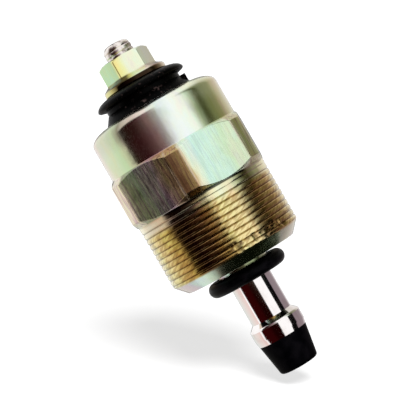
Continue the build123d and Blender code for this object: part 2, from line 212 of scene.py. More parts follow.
# %% [markdown]
# ## White surroundings, and a floor for the shadow
# The photograph has a plain white ground. The world is white to the camera and to anything that mirrors
# it, and softer as a light, so that black rubber stays black. The part leans in the picture and its
# shadow lies to the lower left, on a floor that passes just under the valve tip. In the frame of
# the part that floor is a tilted sheet. Its underside is clear, so that it hides nothing from below.

# %% world
FILL = 0.12
WHITE = (1.0, 1.0, 1.0, 1.0)
world = bpy.data.worlds.new("white_studio")
bpy.context.scene.world = world
world.use_nodes = True
tree = world.node_tree
tree.nodes.clear()
path = add(tree, "LightPath")
seen = sums(tree, "MAXIMUM", path.outputs["Is Camera Ray"], path.outputs["Is Glossy Ray"])
seen = sums(tree, "MAXIMUM", seen, path.outputs["Is Transmission Ray"])
background = add(tree, "Background", {"Color": WHITE, "Strength": spread(tree, seen, 0.0, 1.0, FILL, 1.0)})
add(tree, "OutputWorld", {"Surface": background.outputs[0]})
print("light from the surroundings:", FILL)

# %% floor sheet
floor_tilt = math.radians(11)
floor_gap = 1.0 * MM
floor_half = 2.0
floor_up = screen_up * math.cos(floor_tilt) - depth * math.sin(floor_tilt)
floor_back = depth * math.cos(floor_tilt) + screen_up * math.sin(floor_tilt)
tip_low, tip_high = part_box("valve_tip")
tip_rim = (tip_high.x - tip_low.x) / 2
lowest = min(
    floor_up.dot(Vector((tip_rim * math.cos(turn), tip_rim * math.sin(turn), tip_low.z)))
    for turn in (math.radians(5 * step) for step in range(72))
)
floor_middle = floor_up * (lowest - floor_gap)
corners = [
    floor_middle + (screen_right * side + floor_back * far) * floor_half
    for side, far in ((-1, -1), (1, -1), (1, 1), (-1, 1))
]
floor_mesh = bpy.data.meshes.new("floor")
floor_mesh.from_pydata(corners, [], [(0, 1, 2, 3)])
floor = bpy.data.objects.new("floor", floor_mesh)
bpy.context.scene.collection.objects.link(floor)
floor.visible_glossy = False
print("floor faces up along", [round(x, 2) for x in floor_up])

# %% floor paper
floor_paper = 0.30
floor_glow = 0.72
floor_finish = bpy.data.materials.new("white_floor")
floor_finish.use_nodes = True
tree = floor_finish.node_tree
tree.nodes.clear()
path = add(tree, "LightPath")
paper = add(tree, "BsdfDiffuse", {"Color": (floor_paper, floor_paper, floor_paper, 1)})
glow = sums(tree, "MULTIPLY", path.outputs["Is Camera Ray"], floor_glow)
lift = add(tree, "Emission", {"Color": WHITE, "Strength": glow})
top_side = add(tree, "AddShader", {0: paper.outputs[0], 1: lift.outputs[0]})
under_side = add(tree, "BsdfTransparent")
side = add(tree, "NewGeometry").outputs["Backfacing"]
both = add(tree, "MixShader", {0: side, 1: top_side.outputs[0], 2: under_side.outputs[0]})
add(tree, "OutputMaterial", {"Surface": both.outputs[0]})
floor_mesh.materials.append(floor_finish)
print("floor paper reflects", floor_paper, "and glows", floor_glow)

# %% [markdown]
# ## One soft lamp
# The shadow in the photograph is faint and soft, and lies a little to the left of the part and behind it.
# A lamp as far off as the sun lights the whole floor evenly, and a wide angle makes its shadow as soft
# as a studio's softbox would. The lamp isn't seen in the metal, where the white surroundings
# and the cards of the next step do all the work.

# %% lamp
LAMP_DISTANCE = 0.5
LAMP_ANGLE = 28
lamp_way = screen_right * 0.11 + floor_up * 1.0 - floor_back * 0.78
lamp_data = bpy.data.lights.new("soft_lamp", "SUN")
lamp_data.angle = math.radians(LAMP_ANGLE)
lamp_data.energy = 5.6
lamp = bpy.data.objects.new("soft_lamp", lamp_data)
lamp.location = lamp_way.normalized() * LAMP_DISTANCE
lamp.rotation_mode = "QUATERNION"
lamp.rotation_quaternion = lamp_way.to_track_quat("Z", "Y")
lamp.visible_glossy = False
bpy.context.scene.collection.objects.link(lamp)
print("the lamp is", LAMP_ANGLE, "degrees wide")

# %% [markdown]
# ## Cards that the metal mirrors
# Polished metal shows what stands round it. The rod in the photograph shows, from left to right: white,
# a sharp dark band, a white band, a thin black band and grey. Those are the dark side of the room, a soft
# light and a dark card. Photographers make such bands with cards, and so does this scene. Each card
# is a strip of a cylinder round the part. Angles are round the axis, 0 towards the camera, + to the
# right. Only mirroring rays see the cards, so they never hide the part.
# The rod lies low, so it mirrors the low part of a card, and the body mirrors a part further up. That is
# how one card can be sharp for the rod and soft for the body: a card has zones one above the other, each
# with the height in mm where it starts and how soft that border is, and each has its own colours by angle.

# %% card helpers
CARD_DISTANCE = 300 * MM
CARD_HALF = 700


def card_finish(name, paint):
    """A finish that gives light, painted by where a point of the card lies."""
    finish = bpy.data.materials.new(name)
    finish.use_nodes = True
    tree = finish.node_tree
    tree.nodes.clear()
    light = add(tree, "Emission", {"Color": paint(tree, places(tree)), "Strength": 1.0})
    add(tree, "OutputMaterial", {"Surface": light.outputs[0]})
    return finish


def set_card(name, points, faces, paint):
    """Puts up a card that only mirroring rays see."""
    mesh = bpy.data.meshes.new(name)
    mesh.from_pydata(points, [], faces)
    mesh.materials.append(card_finish(name, paint))
    sheet = bpy.data.objects.new(name, mesh)
    bpy.context.scene.collection.objects.link(sheet)
    for ray in ("camera", "diffuse", "shadow", "volume_scatter"):
        setattr(sheet, "visible_" + ray, False)


def curved_card(name, start, end, paint, slices=24):
    """A strip of a cylinder round the axis, from one angle to another."""
    turns = [math.radians(start + (end - start) * i / slices) for i in range(slices + 1)]
    points = [
        (CARD_DISTANCE * math.sin(turn), -CARD_DISTANCE * math.cos(turn), height * MM)
        for turn in turns
        for height in (-CARD_HALF, CARD_HALF)
    ]
    faces = [(2 * i, 2 * i + 2, 2 * i + 3, 2 * i + 1) for i in range(slices)]
    set_card(name, points, faces, paint)

# %% the dark side of the room
PURE = (255, 255, 255)
ROD_ROOM = (
    (-73.9, PURE), (-72.3, (46, 4, 5)), (-36, (42, 3, 4)), (-20, (24, 1, 1)), (7.5, (24, 1, 1)),
    (9.5, PURE),
)
THREAD_ROOM = (
    (-71.4, PURE), (-66.8, (34, 14, 10)), (-40, (34, 14, 10)), (-26, (70, 60, 48)), (-13, (108, 98, 84)),
    (0, (152, 142, 122)), (9, (200, 194, 176)), (16, (244, 242, 236)), (17, PURE),
)
UNDER_ROOM = (
    (-71.4, PURE), (-66.8, (22, 10, 6)), (-40, (22, 12, 8)), (-26, (60, 54, 44)), (-19, (140, 134, 108)),
    (-12, (226, 222, 194)), (-6, (250, 248, 230)), (0, (250, 248, 232)), (10, (246, 244, 230)), (17, PURE),
)
HEX_ROOM = (
    (-77, PURE), (-75.4, (70, 72, 60)), (-62, (70, 72, 60)), (-45, (60, 50, 46)), (-24, (110, 100, 88)),
    (-17, (126, 116, 102)), (-6, (132, 122, 106)), (0, (158, 148, 128)), (5, (235, 232, 220)), (8, PURE),
)
BODY_ROOM = (
    (-69.6, PURE), (-67.6, (40, 24, 16)), (-54, (50, 20, 18)), (-40, (50, 15, 20)), (-26, (84, 52, 56)),
    (-13, (134, 110, 115)), (-3, (160, 148, 152)), (6, (190, 186, 187)), (13, (236, 236, 233)), (17, PURE),
)
NUT_ROOM = (
    (-69.6, PURE), (-67.6, (40, 24, 16)), (-40, (50, 15, 20)), (-13, (134, 110, 115)), (2, (190, 184, 184)),
    (8, PURE),
)

# %% room card
ROD_FOOT = -300
SHANK_FOOT = -27


def room_paint(tree, spot):
    """Maroon black on the left, and grey near the middle, with white high up."""
    shade = zoned(
        tree, spot["turn"], spot["height"], THREAD_ROOM,
        (ROD_FOOT, 20, ROD_ROOM), (SHANK_FOOT, 1.5, THREAD_ROOM), (-3.6, 1.2, UNDER_ROOM),
        (1.2, 0.6, HEX_ROOM), (18.8, 0.6, BODY_ROOM), (44, 3, NUT_ROOM),
    )
    return blend(tree, step_up(tree, spot["height"], 420.0, CARD_HALF), shade, WHITE)


curved_card("room_card", -82, 17, room_paint)
print("the rod mirrors the room card between", ROD_FOOT, "and", SHANK_FOOT, "mm")

# %% left card and side card
def left_paint(tree, spot):
    """White, but faintly pink where the rod mirrors it."""
    stops = ((-150, (226, 230, 226)), (-110, (232, 221, 215)), (-84, (236, 210, 204)))
    pink = by_angle(tree, spot["turn"], *stops)
    return blend(tree, between(tree, spot["height"], ROD_FOOT, SHANK_FOOT, 3.0), WHITE, pink)


def side_paint(tree, spot):
    """Soft and olive for the body, sharp and black for the rod, and white high up."""
    body_part = (
        (50, PURE), (57, (226, 236, 228)), (64, (188, 197, 182)), (70, (138, 146, 134)), (76, (86, 88, 66)),
        (80, (72, 74, 50)), (85, (98, 100, 76)), (90, (126, 129, 104)), (104, (146, 146, 124)),
        (114, (154, 153, 132)), (124, (196, 192, 182)), (138, (222, 218, 210)), (151, (236, 233, 230)),
        (165, (244, 244, 240)),
    )
    rod_part = (
        (56.9, PURE), (57.6, (10, 9, 10)), (84.4, (10, 9, 10)), (86.0, (136, 122, 128)),
        (134, (146, 134, 138)), (165, (236, 230, 232)),
    )
    shade = zoned(tree, spot["turn"], spot["height"], rod_part, (SHANK_FOOT, 1.5, body_part))
    return blend(tree, step_up(tree, spot["height"], 200.0, 520.0), shade, WHITE)


curved_card("left_card", -165, -82.5, left_paint)
curved_card("side_card", 50, 165, side_paint)

# %% back card and dark table
TABLE_DROP = -300 * MM
TABLE_HALF = 0.6


def back_paint(tree, spot):
    """Grey low down and white high up, but dark where the slope of the nut's flange mirrors it."""
    turn = sums(tree, "ABSOLUTE", spot["turn"])
    left_half = step_down(tree, spot["turn"], -1.0, 1.0)
    high = step_up(tree, spot["height"], 150.0, 190.0)
    dark = product(tree, high, left_half, step_up(tree, turn, 166.0, 170.0))
    grey = blend(tree, high, colour(150, 150, 150), WHITE)
    return blend(tree, dark, grey, colour(24, 14, 10))


def table_paint(tree, spot):
    """The dark table under the part, a little to the right."""
    amount = product(
        tree,
        between(tree, spot["side"], -120.0, 238.0, 30.0),
        between(tree, spot["far"], -280.0, 250.0, 60.0),
    )
    return blend(tree, amount, WHITE, colour(17, 20, 13))


curved_card("back_card", 166, 196, back_paint)
table = [(x * TABLE_HALF, y * TABLE_HALF, TABLE_DROP) for x, y in ((-1, -1), (1, -1), (1, 1), (-1, 1))]
set_card("table_card", table, [(0, 1, 2, 3)], table_paint)
print("cards made, at", CARD_DISTANCE / MM, "mm from the axis")

# %% [markdown]
# ## Meshes that were turned on a lathe
# The housing, the nut and the stud are lathe work with a few flats. Blender could spin an outline, but
# a spun outline can't follow a hexagon or a thread. So this helper makes the outline afresh at each
# angle round the axis, and joins each outline to the next. Where the outline climbs by one pitch in
# one turn, it is a true thread. Where it is cut by a flat, it is a hexagon.
# Each corner of an outline can have a small ease, because no real edge is sharp.

# %% eased corners
def eased(corners, closed=True, steps=4):
    """Outline points from corners, each (radius, height, ease), with a small curve at each ease."""
    points = []
    count = len(corners)
    for i, (radius, height, ease) in enumerate(corners):
        inner = closed or 0 < i < count - 1
        if not ease or not inner:
            points.append((radius, height))
            continue
        here = Vector((radius, height))
        before = Vector(corners[i - 1][:2]) - here
        after = Vector(corners[(i + 1) % count][:2]) - here
        first = here + before.normalized() * min(ease, before.length * 0.45)
        last = here + after.normalized() * min(ease, after.length * 0.45)
        for step in range(steps + 1):
            t = step / steps
            spot = first * (1 - t) ** 2 + here * (2 * t * (1 - t)) + last * t ** 2
            points.append((spot.x, spot.y))
    return points

# %% turned mesh
SAME_POINT = 0.0004 * MM


def turned(name, outline_at, angles, closed=True):
    """A mesh of outlines, in mm, taken round the axis at the given angles in degrees."""
    rings = [
        [
            (r * math.cos(math.radians(angle)) * MM, r * math.sin(math.radians(angle)) * MM, z * MM)
            for r, z in outline_at(angle)
        ]
        for angle in [*angles, angles[0] + 360.0]
    ]
    count = len(rings[0])
    faces = [
        (j * count + i, (j + 1) * count + i, (j + 1) * count + (i + 1) % count, j * count + (i + 1) % count)
        for j in range(len(rings) - 1)
        for i in range(count if closed else count - 1)
    ]
    mesh = bpy.data.meshes.new(name)
    mesh.from_pydata([point for ring in rings for point in ring], [], faces)
    work = bmesh.new()
    work.from_mesh(mesh)
    bmesh.ops.remove_doubles(work, verts=work.verts, dist=SAME_POINT)
    bmesh.ops.recalc_face_normals(work, faces=work.faces)
    open_edges = sum(not edge.is_manifold for edge in work.edges)
    work.to_mesh(mesh)
    work.free()
    mesh.shade_smooth()
    mesh.set_sharp_from_angle(angle=math.radians(29))
    piece = bpy.data.objects.new(name, mesh)
    bpy.context.scene.collection.objects.link(piece)
    even = piece.modifiers.new("even_shading", "WEIGHTED_NORMAL")
    even.keep_sharp = True
    print(name, "faces:", len(mesh.polygons), "open edges:", open_edges)
    return piece

# %% hexagons
def hexagon_reach(angle, flat_angle, flat_reach, corner_reach, ease=0.05):
    """How far a hexagon with turned corners reaches at an angle, with its edges eased."""
    off = (angle - flat_angle + 30.0) % 60.0 - 30.0
    flat = flat_reach / math.cos(math.radians(off))
    gap = max(ease - abs(flat - corner_reach), 0.0) / ease
    return min(flat, corner_reach) - gap * gap * ease / 4


def hexagon_angles(flat_angle, flat_reach, corner_reach, even=240, near=(-0.5, -0.25, 0.0, 0.25, 0.5)):
    """Even angles round the axis, with more of them near the edges of a hexagon's flats."""
    edge = math.degrees(math.acos(flat_reach / corner_reach))
    extra = [
        (flat_angle + 60 * k + side * edge + more) % 360.0
        for k in range(6)
        for side in (-1, 1)
        for more in near
    ]
    plain = [360.0 * i / even for i in range(even)]
    kept = [a for a in plain if all(abs(a - b) > 0.12 for b in extra)]
    return sorted(kept + extra)

# %% [markdown]
# ## The housing
# The housing is one turned steel cup. Its hexagon takes the spanner, its M24 fine thread screws into
# the pump, and its upper rim is rolled over the plastic cap. The thread could be a bump in the finish, but
# it would then be missing at the edges of the picture of the shank, where it shows most. So it is real:
# a pitch of 1 mm, with wide worn crests and narrow roots. It fades out just under the hexagon.

# %% shank and thread
THREAD_REACH = 12.0
PITCH = 1.0
THREAD_DEPTH = 0.17
THREAD_STEPS = 10
THREAD_TOP = -0.65
FADE = 0.7
SHANK_END = -11.5
END_FACE = -13.6
CHAMFER_REACH = 10.1


def chamfer_reach(height):
    """How far the shank reaches where its end is chamfered."""
    fall = (SHANK_END - height) / (SHANK_END - END_FACE)
    return THREAD_REACH - max(fall, 0.0) * (THREAD_REACH - CHAMFER_REACH)


def thread_rise(share):
    """The thread's form over one pitch, 0 at its narrow root and 1 at its wide crest."""
    rise = min(min(share, 1 - share) / 0.24, 1.0)
    return rise * rise * (3 - 2 * rise)

# %% [markdown]
# ### Bruised turns
# The lowest turns are bruised at the front right, as from being dropped or started askew. They could be
# pushed in by hand in sculpt mode. Here a slow noise does it, inside a patch that fades out, because
# the outline is worked out at each angle anyway.

# %% bruises and thread outline
BRUISE_ANGLE = 298
BRUISE_HALF = 40
BRUISE_TOP = -9.4
BRUISE_DEPTH = 0.3


def bruise(angle, height):
    """How far the lowest turns are pushed in, near the front right."""
    turn = math.radians(angle)
    spot = Vector((math.cos(turn) * THREAD_REACH, math.sin(turn) * THREAD_REACH, height)) * 1.3
    across = max(0.0, 1 - abs((angle - BRUISE_ANGLE + 180) % 360 - 180) / BRUISE_HALF)
    near = across * max(0.0, min(1.0, (BRUISE_TOP - height) / 0.8))
    return BRUISE_DEPTH * min(1.0, 2 * near) * max(0.0, noise.noise(spot) + 0.15)


def thread_outline(angle, low, high):
    """The threaded stretch of the outline, from its low end to its high end."""
    rows = []
    start = low + PITCH * (angle / 360.0 - 1.5)
    for step in range(THREAD_STEPS * (int((high - low) / PITCH) + 3)):
        share = step % THREAD_STEPS / THREAD_STEPS
        height = min(max(start + step / THREAD_STEPS * PITCH, low), high)
        fade = min(max((high - height) / FADE, 0.0), 1.0)
        cut = THREAD_DEPTH * (1 - thread_rise(share)) * fade * fade * (3 - 2 * fade)
        reach = min(THREAD_REACH - cut - bruise(angle, height), chamfer_reach(height))
        rows.append((reach, height))
    return rows

# %% [markdown]
# ### Nose, hexagon, rim and bore
# The nose carries the seal ring. The hexagon is that of the bar, and its corners were turned off at
# 40 degrees, which leaves the curved edges at its top and bottom. The rim is most of a quarter ellipse,
# as steel takes when it is rolled over, with a small burr where the tool left it. They could be separate
# meshes, but the real cup is one piece, so all of it is one outline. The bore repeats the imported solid.

# %% nose and hexagon
ROD_HOLE = 3.975
NOSE_END = -16.6
LIP_REACH = 4.8
LIP_TOP = NOSE_END + 0.35
NECK_REACH = 4.58
HEX_TURN = -3.7
HEX_FLAT = 12.1
HEX_CORNER = 13.25
HEX_FACE = 12.02
HEX_TOP = 9.0
BODY_REACH = 11.85
hex_slope = math.tan(math.radians(40))


def nose_outline():
    """From the rod's hole over the nose to the chamfer of the shank."""
    chamfer_end = SHANK_END - 0.9
    corners = [
        (ROD_HOLE, NOSE_END, 0.05), (LIP_REACH, NOSE_END, 0.1), (LIP_REACH, LIP_TOP, 0.05),
        (NECK_REACH, LIP_TOP, 0), (NECK_REACH, END_FACE, 0), (CHAMFER_REACH, END_FACE, 0.12),
        (chamfer_reach(chamfer_end), chamfer_end, 0),
    ]
    return eased(corners, closed=False)


def hexagon_outline(angle):
    """From the thread's end over the hexagon to the foot of the body."""
    reach = hexagon_reach(angle, HEX_TURN, HEX_FLAT, HEX_CORNER)
    rise = (reach - HEX_FACE) * hex_slope
    corners = [
        (THREAD_REACH, THREAD_TOP + 0.03, 0), (HEX_FACE, 0.02, 0.55), (reach, rise, 0.1),
        (reach, HEX_TOP - rise, 0.1), (HEX_FACE, HEX_TOP, 0), (BODY_REACH, HEX_TOP + 0.12, 0.05),
        (BODY_REACH, HEX_TOP + 0.7, 0),
    ]
    return eased(corners, closed=False)

# %% rim and bore
BODY_TOP = 15.3
RIM_TOP = 17.25
RIM_UNDER = 16.2
RIM_LAND = 8.72
RIM_HOLE = 8.2
ROLL_ANGLES = range(0, 82, 5)
BURR_ANGLE = -60.0
BURR_HALF = 4.5
BURR_HEIGHT = 0.2
SEAT_REACH = 9.9
SEAT_FLOOR = 10.9
CUP_REACH = 9.4
CUP_FLOOR = -10.4
GROOVE_REACH = 5.355
GROOVE_FLOOR = -11.6
SLEEVE_BORE = 4.155
SLEEVE_END = -16.2


def rim_outline(angle):
    """The rolled rim, most of a quarter ellipse, and its edge with the burr."""
    rolled = [
        (
            RIM_HOLE + (BODY_REACH - RIM_HOLE) * math.cos(math.radians(part)),
            BODY_TOP + (RIM_TOP - BODY_TOP) * math.sin(math.radians(part)),
        )
        for part in ROLL_ANGLES
    ]
    away = abs((angle - BURR_ANGLE + 180) % 360 - 180)
    burr = BURR_HEIGHT * math.exp(-((away / BURR_HALF) ** 4))
    edge = [(RIM_LAND, RIM_TOP - 0.02, 0), (RIM_HOLE, RIM_TOP + burr, 0.12), (RIM_HOLE, RIM_UNDER, 0)]
    return rolled + eased(edge, closed=False)


bore = [
    (SEAT_REACH, RIM_UNDER), (SEAT_REACH, SEAT_FLOOR), (CUP_REACH, SEAT_FLOOR), (CUP_REACH, CUP_FLOOR),
    (GROOVE_REACH, CUP_FLOOR), (GROOVE_REACH, GROOVE_FLOOR), (SLEEVE_BORE, GROOVE_FLOOR),
    (SLEEVE_BORE, SLEEVE_END), (ROD_HOLE, SLEEVE_END),
]

# %% housing
def housing_outline(angle):
    """The housing's section at an angle: up the outside, over the rim and down the bore."""
    shank = thread_outline(angle, SHANK_END - 0.8, THREAD_TOP)
    return nose_outline() + shank + hexagon_outline(angle) + rim_outline(angle) + bore


housing = turned("housing_turned", housing_outline, hexagon_angles(HEX_TURN, HEX_FLAT, HEX_CORNER))
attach(housing, "solenoid_body")
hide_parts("housing")

# %% [markdown]
# ## The terminal nut and stud
# The nut is made in one piece with its washer face, which is what its sloped flange is called. Its edges
# are well rounded, because small nuts are cold formed and tumbled before plating. A bevelled prism
# would lack its turned corners, so the nut is made as the housing is. The stud ends a little above
# the nut. Its thread is worn nearly flat there, and its end is rounded.

# %% nut
NUT_TURN = 36.2
NUT_FLAT = 4.0
NUT_CORNER = 4.62
NUT_TOP_FLAT = 3.775
NUT_HOLE = 2.53
FLANGE_REACH = 5.75
nut_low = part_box("terminal_nut")[0].z / MM
nut_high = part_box("terminal_nut")[1].z / MM


def nut_outline(angle):
    """The nut's section at an angle, from its seat up the outside and down its hole."""
    reach = hexagon_reach(angle, NUT_TURN, NUT_FLAT, NUT_CORNER, ease=0.12)
    slope = (NUT_CORNER - NUT_TOP_FLAT) / 0.45
    shoulder = nut_high - (reach - NUT_TOP_FLAT) / slope
    corners = [
        (NUT_HOLE, nut_low, 0.1), (FLANGE_REACH, nut_low, 0.2), (FLANGE_REACH, nut_low + 0.95, 0.42),
        (reach + 0.04, nut_low + 1.62, 0.22), (reach, shoulder, 0.16), (NUT_TOP_FLAT, nut_high, 0.14),
        (NUT_HOLE + 0.22, nut_high, 0.1), (NUT_HOLE, nut_high - 0.25, 0.05),
    ]
    return eased(corners)


nut_angles = hexagon_angles(NUT_TURN, NUT_FLAT, NUT_CORNER, 120, (-2.0, -1.0, 0.0, 1.0, 2.0))
nut = turned("nut_formed", nut_outline, nut_angles)
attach(nut, "solenoid_body")
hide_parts("terminal_nut")

# %% stud outline
STUD_REACH = 2.5
STUD_PITCH = 0.8
STUD_DEPTH = 0.13
STUD_STEPS = 8
STUD_ROUND = 1.2
HEAD_LOW = 14.2
HEAD_HIGH = 16.4
HEAD_FLAT = 4.0
stud_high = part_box("terminal_stud")[1].z / MM


def stud_reach(height):
    """How far the stud reaches, with its end rounded."""
    fall = max(height - (stud_high - STUD_ROUND), 0.0)
    return STUD_REACH - STUD_ROUND + math.sqrt(max(STUD_ROUND ** 2 - fall ** 2, 0.0))


def stud_thread(angle, low, high):
    """The stud's worn thread, which starts inside the nut and runs out on the rounded end."""
    rows = []
    start = low + STUD_PITCH * (angle / 360.0 - 2)
    for step in range(STUD_STEPS * (int((high - low) / STUD_PITCH) + 3)):
        height = min(max(start + step / STUD_STEPS * STUD_PITCH, low), high)
        grow = min(max((height - low) / 0.5, 0.0), 1.0) * min(max((high - height) / 0.6, 0.0), 1.0)
        cut = STUD_DEPTH * (1 - thread_rise(step % STUD_STEPS / STUD_STEPS)) * grow
        rows.append((stud_reach(height) - cut, height))
    return rows


def stud_outline(angle):
    """The stud's section at an angle, from the middle of its head, whose corners are uncut, to its end."""
    head = hexagon_reach(angle, 0.0, HEAD_FLAT, 2 * HEAD_FLAT)
    foot = [(0, HEAD_LOW), (head, HEAD_LOW), (head, HEAD_HIGH), (STUD_REACH, HEAD_HIGH)]
    thread = stud_thread(angle, nut_high - 2.4, stud_high - 0.3)
    tip = [(stud_reach(stud_high - fall), stud_high - fall) for fall in (0.18, 0.09, 0.03, 0.0)]
    return foot + thread + tip + [(0, stud_high)]

# %% stud
stud = turned("stud_threaded", stud_outline, [360.0 * i / 144 for i in range(144)], closed=False)
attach(stud, "solenoid_body")
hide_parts("terminal_stud")

# %% [markdown]
# ## The return spring
# The spring pushes the plunger out, and shortens by 2.5 mm when the coil pulls the plunger in. A packed
# solid can't change its length, so the spring is wound here again on the same path: a closed turn, six open
# ones and a closed one. It could be a curve with a round section, but a mesh is needed here, because
# its points have to move with the joint. It rides on the body and flattens towards its upper end.

# %% path of the spring wire
SPRING_WIRE = 0.3
SPRING_TURNS = 8
CLOSED_RISE = 0.62
spring_box = [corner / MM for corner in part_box("return_spring")]
spring_reach = spring_box[1].x - SPRING_WIRE
spring_length = spring_box[1].z - spring_box[0].z
open_rise = (spring_length - 2 * SPRING_WIRE - 2 * CLOSED_RISE) / (SPRING_TURNS - 2)


def spring_place(turns):
    """The middle of the wire after so many turns, in mm."""
    opened = min(max(turns - 1, 0), SPRING_TURNS - 2)
    rise = open_rise * opened + CLOSED_RISE * (turns - opened)
    angle = math.tau * turns
    height = spring_box[0].z + SPRING_WIRE + rise
    return Vector((spring_reach * math.cos(angle), spring_reach * math.sin(angle), height))


print("each open turn of the spring rises", round(open_rise, 2), "mm")

# %% wire round the path
WIRE_SIDES = 12
STEPS_A_TURN = 48
points = []
count = SPRING_TURNS * STEPS_A_TURN
for step in range(count + 1):
    here = spring_place(step / STEPS_A_TURN)
    outward = Vector((here.x, here.y, 0)).normalized()
    for side in range(WIRE_SIDES):
        part = math.tau * (side + 0.5) / WIRE_SIDES
        off_middle = outward * math.cos(part) + Vector((0, 0, math.sin(part)))
        points.append((here + off_middle * SPRING_WIRE) * MM)
faces = [
    (i * WIRE_SIDES + k, (i + 1) * WIRE_SIDES + k, (i + 1) * WIRE_SIDES + n, i * WIRE_SIDES + n)
    for i in range(count)
    for k, n in ((k, (k + 1) % WIRE_SIDES) for k in range(WIRE_SIDES))
]
faces += [tuple(range(WIRE_SIDES)), tuple(count * WIRE_SIDES + k for k in reversed(range(WIRE_SIDES)))]
print("faces of the wire:", len(faces))

# %% spring that gets shorter
spring_mesh = bpy.data.meshes.new("spring_wound")
spring_mesh.from_pydata(points, [], faces)
work = bmesh.new()
work.from_mesh(spring_mesh)
bmesh.ops.recalc_face_normals(work, faces=work.faces)
work.to_mesh(spring_mesh)
work.free()
spring_mesh.shade_smooth()
spring_mesh.set_sharp_from_angle(angle=math.radians(50))
spring = bpy.data.objects.new("spring_wound", spring_mesh)
bpy.context.scene.collection.objects.link(spring)
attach(spring, "solenoid_body")
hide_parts("return_spring")
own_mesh(spring)

# %% [markdown]
# ## What every finish starts from
# The finishes vary along the part and round it. Each one asks the same things of a point: its place
# in mm, its angle round the axis, its distance from the axis and its height. They come from
# the coordinates of the piece itself, so a finish stays on its piece when the plunger moves.
# Fine unevenness comes from noise, drawn out along or across the axis as the tool left it.

# %% finish helpers
def start_finish(name):
    """A new material with an empty shader, and where each point lies on the part."""
    finish = bpy.data.materials.new(name)
    finish.use_nodes = True
    tree = finish.node_tree
    tree.nodes.clear()
    shader = add(tree, "BsdfPrincipled")
    add(tree, "OutputMaterial", {"Surface": shader.outputs[0]})
    return finish, tree, shader, places(tree)


def grain(tree, place, size, stretch=(1, 1, 1), detail=3.0, shift=(0, 0, 0)):
    """Noise from about 0 to 1, with features of a size in mm, drawn out where stretch is small."""
    moved = add(tree, "Mapping", {"Vector": place, "Scale": stretch, "Location": shift}).outputs[0]
    return add(tree, "TexNoise", {"Vector": moved, "Scale": 1 / size, "Detail": detail}).outputs[0]


def bump(tree, shader, height, depth_mm):
    """Raises the surface by a value from 0 to 1, times a depth in mm."""
    inputs = {"Height": height, "Strength": 1.0, "Distance": depth_mm * MM}
    tree.links.new(add(tree, "Bump", inputs).outputs[0], shader.inputs["Normal"])

# %% [markdown]
# ## Yellow chromate on zinc
# The housing and the nut are zinc plated and dipped in chromate. The film is thinner than light is long,
# so it shows colours like oil on water: pale mint, straw, gold, rose and mauve. A single colour
# would look like paint, and a mix by the view angle alone would be too even. Here the angle round
# the axis and a slow noise choose the colour, and each stretch of the housing has its own ring of colours,
# from the end face up to the shoulder. The angle is counted from the side that faces the camera, so these
# rings hold painted light as well as film colour. They have painted highlights near white where a face
# mirrors the light, and painted shade and dark painted reflections where it mirrors the dark. The noise
# lets the borders of the colours wander.

# %% chromate helpers
def film_colour(tree, spot):
    """The film's own drifting colours, from slow noise drawn out along the axis."""
    drift = grain(tree, spot["place"], 5.0, (1, 1, 0.45), 2.0)
    fine = grain(tree, spot["place"], 1.1, (1.2, 1.2, 0.5), 3.0, (7, 3, 1))
    mixed = sums(tree, "ADD", product(tree, drift, 0.7), product(tree, fine, 0.3))
    return ramp(
        tree, mixed,
        (0.30, (196, 176, 200)), (0.38, (226, 190, 190)), (0.44, (238, 222, 170)), (0.50, (222, 236, 178)),
        (0.57, (206, 238, 214)), (0.64, (200, 226, 232)), (0.72, (232, 214, 190)),
    )


def banded(tree, spot, lowest, *bands, wander=22.0):
    """Rings of colours one above the other, whose borders wander by some degrees round the axis."""
    drift = grain(tree, spot["place"], 3.0, (1, 1, 0.35), 3.0, (2, 9, 4))
    turn = sums(tree, "ADD", spot["turn"], product(tree, sums(tree, "SUBTRACT", drift, 0.5), wander))
    return zoned(tree, turn, spot["height"], lowest, *bands)


def chromated(tree, shader, spot, base, low, high):
    """Fills a shader with plated metal, its polish uneven between two roughnesses."""
    blotch = grain(tree, spot["place"], 2.2, (1, 1, 1), 4.0, (5, 5, 5))
    tree.links.new(base, shader.inputs["Base Color"])
    tree.links.new(spread(tree, blotch, 0.3, 0.7, low, high), shader.inputs["Roughness"])
    shader.inputs["Metallic"].default_value = 1.0

# %% colours round the body
# Film colour with painted light: painted highlights near white at the front right, and darker painted
# reflections at the front left.
BODY_FILM_AND_PAINTED_LIGHT = (
    (-180, (226, 226, 214)), (-120, (232, 218, 210)), (-76, (238, 220, 208)), (-62, (222, 226, 200)),
    (-44, (204, 222, 176)), (-36, (206, 208, 166)), (-26, (220, 176, 184)), (-6, (228, 206, 212)),
    (6, (248, 250, 248)), (12, (255, 255, 254)), (26, (244, 254, 246)), (36, (216, 224, 192)),
    (52, (216, 216, 164)), (66, (224, 216, 190)), (90, (226, 220, 208)), (140, (216, 226, 206)),
    (180, (226, 226, 214)),
)
SHOULDER_FILM_AND_PAINTED_LIGHT = (
    (-180, (226, 226, 214)), (-120, (232, 218, 210)), (-76, (238, 214, 206)), (-62, (220, 218, 200)),
    (-44, (200, 208, 170)), (-32, (150, 140, 118)), (-24, (200, 186, 176)), (-8, (240, 226, 224)),
    (6, (236, 242, 238)), (12, (255, 255, 254)), (26, (242, 252, 242)), (38, (255, 255, 236)),
    (56, (236, 236, 200)), (66, (224, 216, 190)), (90, (226, 220, 208)), (180, (226, 226, 214)),
)
